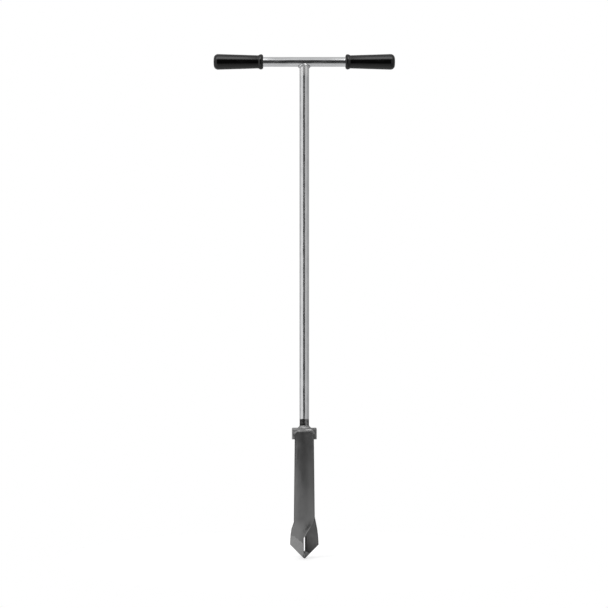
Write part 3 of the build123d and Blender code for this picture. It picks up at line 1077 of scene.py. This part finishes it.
front_flare_top = 0.0915
rear_flare_top = 0.1027
front_grind_start = 0.43
rear_grind_start = 0.55
blades = (
    ("front", 1, front_flare_top, front_grind_start, 7),
    ("rear", -1, rear_flare_top, rear_grind_start, 8),
)
for name, way, flare_top, start, seed in blades:
    points, masks = blade_surface(flare_top, start, seed)
    blade_material = blade_finish(name + "_blade_steel", way)
    blade = grid_piece(name + "_cutter", points * (way, way, 1), blade_material, **masks)
    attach(blade, "root")
    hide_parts(name + "_blade")

# Welds round the top ends of the blades: a bead up one side, over the rounded end and down the
# other, joining each blade to its leg of the bridge. The run over the top is the brightest, with
# painted highlights on its upper side.
top_bead_leg = 0.0062
top_bead_throat = 0.0038
top_bead_foot = 0.0015
top_bead_spacing = 0.0005
top_bead_ripples = 30
top_bead_side = 0.05
top_bead_gather = 3
top_bead_lift = 0.0022
top_bead_lift_place = 0.0115
top_bead_lift_width = 0.011
# Painted highlights on the upper side of the bead over the top
highlight_patches = ((-0.011, 0.0052, 0.005), (0.01, 0.0064, 0.01))  # along X, above the blade, width
bright_rise = 0.003
bright_level = 1.2
bright_mottle = 0.5
bright_size = 0.006
bright_seed = 20
side_dark = 0.3


def evenly(points, spacing):
    """The same line with its points about one spacing apart."""
    reach = np.concatenate([[0.0], np.cumsum(np.linalg.norm(np.diff(points, axis=0), axis=1))])
    steps = np.linspace(0, reach[-1], int(reach[-1] / spacing) + 2)
    return points_at(*[np.interp(steps, reach, column) for column in points.T])


def top_bead(seed):
    """The bead along the blade's outline on the front face of the bridge, thin down the sides and full
    over the top, where a bell curve lifts its run on the right. The bright patches on its upper side
    are painted highlights, bell curves along X and Z. The rest is dark, most of all along the toes
    over the top."""
    foot = bridge_low.z + top_bead_foot + top_bead_leg
    corners = [(-half_top, foot), (-half_top, blade_top), (half_top, blade_top), (half_top, foot)]
    line = evenly(rounded_line(corners, [blade_top_corner, blade_top_corner])[0], top_bead_spacing)
    path = points_at(line[:, 0], bridge_low.y, line[:, 1])
    out = np.full_like(path, (0.0, -1.0, 0.0))
    over_top = ramp(path[:, 2], foot, blade_top) ** top_bead_gather
    throat = top_bead_throat * between(over_top, top_bead_side, 1)
    path[:, 2] += top_bead_lift * over_top * bell(path[:, 0] - top_bead_lift_place, top_bead_lift_width)
    points, masks = weld_bead(path, out, top_bead_leg, throat, top_bead_ripples, seed)
    bright = 0.0
    for place, rise, width in highlight_patches:
        above = points[..., 2] - blade_top - rise
        bright = bright + bell(points[..., 0] - place, width) * bell(above, bright_rise)
    mottle = bright_level + bright_mottle * unevenness(points, bright_size, seed + bright_seed)
    patchy = np.clip(bright * mottle, 0, 1)
    dark = np.maximum(masks["toe"] * over_top[:, None], side_dark) * (1 - patchy)
    return points, {"valley": soft_valley * masks["valley"], "toe": dark, "bright": patchy}


for name, way, seed in (("front", 1, 9), ("rear", -1, 10)):
    points, masks = top_bead(seed)
    bead = grid_piece(name + "_cutter_bead", points * (way, way, 1), weld_material, **masks)
    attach(bead, "root")
    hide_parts(name + "_blade_weld")

# Weld at the point: a lump of weld metal over the seam where the two blades meet, left as laid.
# It lies against the inner face of each blade, wraps the point and stops short of the cutting edges.
tip_bead_size = (0.0138, 0.0042, 0.0088)
tip_bead_height = 0.0098
tip_bead_slant = 0.3
tip_bead_return = 0.75
tip_bead_inset = 0.0008
tip_bead_lip = 0.001
tip_bevel_reach = 0.007
tip_bead_sides = 72
tip_bead_rows = 48
tip_ripples = 5
tip_ripple_height = 0.05
tip_lump_height = 0.08
tip_lump_size = 0.006
# Painted highlight on the upper side of the lump
tip_highlight = 0.2
tip_highlight_level = 0.6
# Painted shade: a dark line down the seam, below the slot
tip_seam_shade = 0.0016
tip_dull = (0.05, 0.13)


def tip_bead():
    """A lumpy ellipsoid with ripples across it. It is sheared about the axis, y falling by the slant
    times x and less towards the ends, and drawn in on the side of the bevels. Its under side is held
    above the cutting edges, with a lip that grows up its sides."""
    turn = circle(tip_bead_sides)
    tilt = np.linspace(-np.pi / 2, np.pi / 2, tip_bead_rows)[:, None]
    unit = points_at(np.cos(tilt) * np.cos(turn), np.cos(tilt) * np.sin(turn), np.sin(tilt))
    along, aside, up = np.moveaxis(unit, -1, 0)
    solid = unit * tip_bead_size
    lumps = unevenness(solid, tip_lump_size, seed=11)
    valley = dips(np.pi * tip_ripples * along + up)
    swell = 1 + tip_lump_height * (lumps - 1) - tip_ripple_height * valley
    x, y, z = np.moveaxis(swell[..., None] * solid, -1, 0)
    bevel_side = along * aside > 0
    y = y * (1 - bevel_side * ramp(np.abs(x), 0, tip_bevel_reach))
    y = y - tip_bead_slant * x * (1 - tip_bead_return * along**2)
    edge_slope = (point_height + point_wear) / half_cut
    edge = blunted(edge_slope * np.abs(x) - point_wear)
    z = np.maximum(z + tip_bead_height, edge + tip_bead_inset + tip_bead_lip * (1 + up))
    # Painted highlight: the upper side of the lump made brighter
    bright = tip_highlight * ramp(up, 0, 1) * np.clip(tip_highlight_level * (1 + lumps), 0, 1)
    # The toe mask here is painted shade down the seam below the slot
    masks = {"valley": soft_valley * valley, "toe": bell(x, tip_seam_shade), "bright": bright}
    return points_at(x, y, z), masks


tip_points, tip_masks = tip_bead()
tip_material = weld_finish("point_weld_metal", tip_dull)
tip = grid_piece("point_bead", tip_points, tip_material, **tip_masks)
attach(tip, "root")
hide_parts("tip_weld")

# Floor: a plain round white table under the point of the auger.
# It glows a little, so that it shows as pale as the tent round it.
table_radius = 0.6
table_sides = 96
floor_white = (0.9, 0.9, 0.9, 1.0)
floor_roughness = 0.9
floor_glow = 0.2
white = (1.0, 1.0, 1.0, 1.0)
floor_mesh = bpy.data.meshes.new("floor")
floor_mesh.from_pydata(around_axis(circle(table_sides), table_radius, 0.0), [], [range(table_sides)])
floor = bpy.data.objects.new("floor", floor_mesh)
bpy.context.scene.collection.objects.link(floor)
floor_material, _, floor_shader = finish("pale_floor", metallic=0.0)
floor_shader.inputs["Base Color"].default_value = floor_white
floor_shader.inputs["Roughness"].default_value = floor_roughness
floor_shader.inputs["Emission Color"].default_value = white
floor_shader.inputs["Emission Strength"].default_value = floor_glow
floor_mesh.materials.append(floor_material)

# Studio light: a white tent with a brighter left side and top, a strip lamp high in front, a dark gap
# where the camera stands, and a soft lamp over each grip.
# Directions are degrees from the camera's side, left negative, and degrees above the horizon.
wall_light = 0.785
wall_lean = -0.115
left_light = 0.6
right_light = 0.25
top_light = 1.03
strip_light = 0.3
gap_light = 0.045
left_span = (-86, -12, 6)  # from, to, and half the width of the soft edges
right_span = (0, 70, 8)
right_rise = (-22, 22, 8)
top_rise = (50, 110, 10)
strip_span = (-70, 70, 20)
strip_rise = (42, 66, 8)
gap_span = (-29, 14, 3)
gap_rise = (-37, 34, 8)
world = bpy.data.worlds.new("white_tent")
world.use_nodes = True
bpy.context.scene.world = world
tent = world.node_tree
toward = node(tent, "SeparateXYZ", {0: node(tent, "TexCoord").outputs["Generated"]}).outputs


def sums(operation, first, second=0.0):
    """One step of arithmetic in the light's node tree."""
    return node(tent, "Math", {0: first, 1: second}, operation=operation).outputs[0]


def soft_edge(angle, dark, lit):
    """0 at one angle in degrees and 1 at the other, eased between them."""
    span = {"Value": angle, "From Min": np.radians(dark), "From Max": np.radians(lit)}
    return node(tent, "MapRange", span, interpolation_type="SMOOTHSTEP").outputs[0]


def window(angle, low, high, soft):
    """1 between two angles in degrees and 0 outside, with soft edges."""
    rise = soft_edge(angle, low - soft, low + soft)
    return sums("MULTIPLY", rise, soft_edge(angle, high + soft, high - soft))


sideways = sums("ARCTAN2", toward["X"], sums("MULTIPLY", toward["Y"], -1.0))
upward = sums("ARCSINE", toward["Z"])


def panel(span, rise):
    """1 inside a panel of the tent and 0 outside."""
    return sums("MULTIPLY", window(sideways, *span), window(upward, *rise))


walls = sums("ADD", sums("MULTIPLY", sums("SINE", sideways), wall_lean), wall_light)
left_panel = sums("MULTIPLY", window(sideways, *left_span), left_light)
right_panel = sums("MULTIPLY", panel(right_span, right_rise), right_light)
sides = sums("ADD", walls, sums("ADD", left_panel, right_panel))
tent_light = level(tent, window(upward, *top_rise), sides, top_light)
strip_lamp = sums("MULTIPLY", panel(strip_span, strip_rise), strip_light)
tent_light = sums("ADD", tent_light, strip_lamp)
tent_light = level(tent, panel(gap_span, gap_rise), tent_light, gap_light)
seen_white = node(tent, "Background", {"Color": white, "Strength": 1.0}).outputs[0]
lit = node(tent, "Background", {"Color": white, "Strength": tent_light}).outputs[0]
from_camera = node(tent, "LightPath").outputs["Is Camera Ray"]
shown = node(tent, "MixShader", {0: from_camera, 1: lit, 2: seen_white}).outputs[0]
tent.links.new(shown, tent.nodes["World Output"].inputs["Surface"])
lamp_reach = 0.25
lamp_rise = np.radians(56)
lamp_width = 0.18
lamp_light = 3.85
lamp_inset = 0.013  # from the inner end of the grip
lamp_spill = 0.2  # past the outer end
for side, name in ((-1, "left_grip"), (1, "right_grip")):
    grip_low, grip_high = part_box(name)
    lamp_data = bpy.data.lights.new(name + "_lamp", "AREA")
    lamp_data.shape = "RECTANGLE"
    lamp_data.size = grip_high.x - grip_low.x - lamp_inset + lamp_spill
    lamp_data.size_y = lamp_width
    lamp_data.energy = lamp_light * np.pi * lamp_data.size * lamp_width
    lamp = bpy.data.objects.new(name + "_lamp", lamp_data)
    ahead, over = lamp_reach * np.cos(lamp_rise), lamp_reach * np.sin(lamp_rise)
    middle = (grip_low.x + grip_high.x + side * (lamp_inset + lamp_spill)) / 2
    lamp.location = (middle, -ahead, bar_axis + over)
    lamp.rotation_euler = (np.pi / 2 - lamp_rise, 0.0, 0.0)
    lamp.visible_camera = False
    bpy.context.scene.collection.objects.link(lamp)

# Camera: level, straight in front of the auger, far enough off to show it almost without perspective.
# Its place and lens put the axis and the point where the photograph has them.
photo_side = 608
metres_per_pixel = 0.00248
axis_pixel = 304.3
point_pixel = 558.3
camera_distance = 5.0
camera_data = bpy.data.cameras.new("camera")
camera_data.sensor_width = 36.0
camera_data.lens = camera_data.sensor_width * camera_distance / (photo_side * metres_per_pixel)
camera = bpy.data.objects.new("camera", camera_data)
camera.location = (
    (photo_side / 2 - axis_pixel) * metres_per_pixel,
    -camera_distance,
    (point_pixel - photo_side / 2) * metres_per_pixel,
)
camera.rotation_euler = (np.pi / 2, 0.0, 0.0)
bpy.context.scene.collection.objects.link(camera)
bpy.context.scene.camera = camera
bpy.context.scene.view_settings.view_transform = "Standard"
